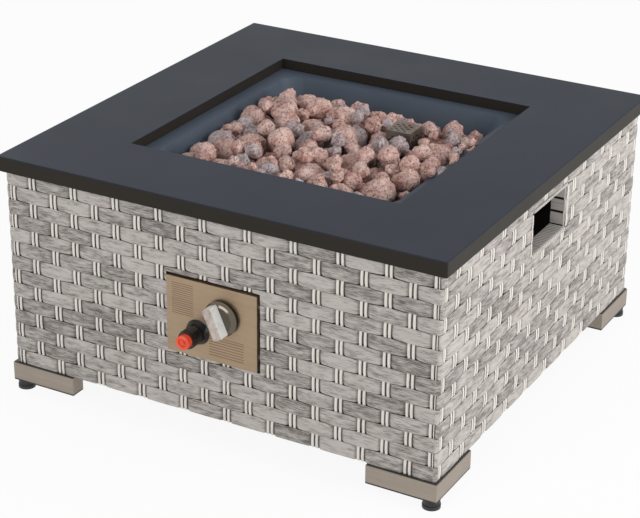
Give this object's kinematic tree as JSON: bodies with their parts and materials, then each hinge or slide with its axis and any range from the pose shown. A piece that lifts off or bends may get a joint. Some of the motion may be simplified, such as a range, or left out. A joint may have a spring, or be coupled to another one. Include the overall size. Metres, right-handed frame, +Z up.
{
  "type": "gas fire pit table",
  "caption": "Low square gas fire table: woven skirt, steel top with a lava-rock fire pan and ring burner, valve knob, push igniter, hand holes and levelling feet",
  "frame": {"origin": "middle of the four feet, on the floor", "axes": "+Z up, +X to the right seen from the front, +Y from the control panel towards the back"},
  "size_m": [0.711, 0.747, 0.3799],
  "materials": {
    "top_black": "fine matt texture",
    "pan_grey": "satin",
    "frame_black": "matt",
    "wicker_grey": "woven flat strands, grained",
    "leg_warm_grey": "brushed, warm grey",
    "black_plastic": "matt",
    "steel_panel": "satin with fine ruled lines",
    "polished": "polished",
    "satin_grip": "satin",
    "igniter_black": "matt",
    "red_cap": "gloss",
    "brass": "machined",
    "zinc": "zinc plated",
    "burner_steel": "heat-dulled",
    "hose_black": "smooth",
    "lead_copper": "drawn",
    "lead_sleeve": "smooth",
    "ceramic_white": "unglazed",
    "cell_shell": "plain",
    "rock_red": "porous, rough",
    "rock_grey": "porous, rough"
  },
  "bodies": {
    "base": {"tabletop": "top_black", "fire_pan": "pan_grey", "pan_screws": "zinc", "corner_posts": "frame_black", "top_rails": "frame_black", "bottom_rails": "frame_black", "handle_uprights": "frame_black", "handle_sills": "frame_black", "panel_uprights": "frame_black", "tabletop_screws": "zinc", "wicker_front": "wicker_grey", "wicker_right": "wicker_grey", "wicker_back": "wicker_grey", "wicker_left": "wicker_grey", "corner_legs": "leg_warm_grey", "leg_base_plates": "black_plastic", "leg_pads": "black_plastic", "foot_nuts": "zinc", "leg_bolts": "zinc", "control_panel": "steel_panel", "panel_screws": "zinc", "panel_spacers": "zinc", "valve_body": "brass", "valve_screws": "zinc", "gas_inlet": "brass", "igniter_body": "igniter_black", "igniter_spring": "zinc", "igniter_battery": "cell_shell", "igniter_nut": "igniter_black", "igniter_module": "igniter_black", "burner_ring": "burner_steel", "burner_nut": "zinc", "air_mixer": "burner_steel", "jet_elbow": "brass", "hose_nuts": "brass", "burner_hose": "hose_black", "pilot_guard": "burner_steel", "pilot_bracket": "burner_steel", "electrode_ceramic": "ceramic_white", "electrode_wire": "zinc", "thermocouple": "lead_copper", "thermocouple_lead": "lead_copper", "ignition_lead": "lead_sleeve", "lava_rocks_red": "rock_red", "lava_rocks_grey": "rock_grey"},
    "valve_core": {"valve_plug": "brass", "stem_spring": "zinc"},
    "knob": {"valve_stem": "zinc", "knob_skirt": "polished", "knob_grip": "satin_grip"},
    "button": {"igniter_button": "red_cap"},
    "stud_front_left": {"foot_stud_front_left": "zinc"},
    "pad_front_left": {"foot_pad_front_left": "black_plastic"},
    "stud_front_right": {"foot_stud_front_right": "zinc"},
    "pad_front_right": {"foot_pad_front_right": "black_plastic"},
    "stud_back_right": {"foot_stud_back_right": "zinc"},
    "pad_back_right": {"foot_pad_back_right": "black_plastic"},
    "stud_back_left": {"foot_stud_back_left": "zinc"},
    "pad_back_left": {"foot_pad_back_left": "black_plastic"}
  },
  "joints": [
    {"name": "valve_turn", "type": "hinge", "parent": "base", "child": "valve_core", "pos_m": [0.018, -0.33, 0.21], "axis": [0, -1, 0], "range_deg": [-24, 216]},
    {"name": "knob_push", "type": "slide", "parent": "valve_core", "child": "knob", "axis": [0, 1, 0], "range_m": [0, 0.0035], "stiffness_N_per_m": 1500, "springref_m": -0.004, "deforming": ["stem_spring"]},
    {"name": "igniter_push", "type": "slide", "parent": "base", "child": "button", "axis": [0, 1, 0], "range_m": [0, 0.004], "stiffness_N_per_m": 1200, "springref_m": -0.003, "deforming": ["igniter_spring"]},
    {"name": "foot_level_front_left", "type": "slide", "parent": "base", "child": "stud_front_left", "axis": [0, 0, -1], "range_m": [0, 0.008]},
    {"name": "foot_turn_front_left", "type": "hinge", "parent": "stud_front_left", "child": "pad_front_left", "pos_m": [-0.338, -0.338, 0.01], "axis": [0, 0, -1], "range_deg": [0, 2306]},
    {"name": "foot_level_front_right", "type": "slide", "parent": "base", "child": "stud_front_right", "axis": [0, 0, -1], "range_m": [0, 0.008]},
    {"name": "foot_turn_front_right", "type": "hinge", "parent": "stud_front_right", "child": "pad_front_right", "pos_m": [0.338, -0.338, 0.01], "axis": [0, 0, -1], "range_deg": [0, 2306]},
    {"name": "foot_level_back_right", "type": "slide", "parent": "base", "child": "stud_back_right", "axis": [0, 0, -1], "range_m": [0, 0.008]},
    {"name": "foot_turn_back_right", "type": "hinge", "parent": "stud_back_right", "child": "pad_back_right", "pos_m": [0.338, 0.338, 0.01], "axis": [0, 0, -1], "range_deg": [0, 2306]},
    {"name": "foot_level_back_left", "type": "slide", "parent": "base", "child": "stud_back_left", "axis": [0, 0, -1], "range_m": [0, 0.008]},
    {"name": "foot_turn_back_left", "type": "hinge", "parent": "stud_back_left", "child": "pad_back_left", "pos_m": [-0.338, 0.338, 0.01], "axis": [0, 0, -1], "range_deg": [0, 2306]}
  ],
  "couplings": [
    {"joint": "foot_turn_front_left", "follows": "foot_level_front_left", "rad_per_m": 5026.5},
    {"joint": "foot_turn_front_right", "follows": "foot_level_front_right", "rad_per_m": 5026.5},
    {"joint": "foot_turn_back_right", "follows": "foot_level_back_right", "rad_per_m": 5026.5},
    {"joint": "foot_turn_back_left", "follows": "foot_level_back_left", "rad_per_m": 5026.5}
  ]
}
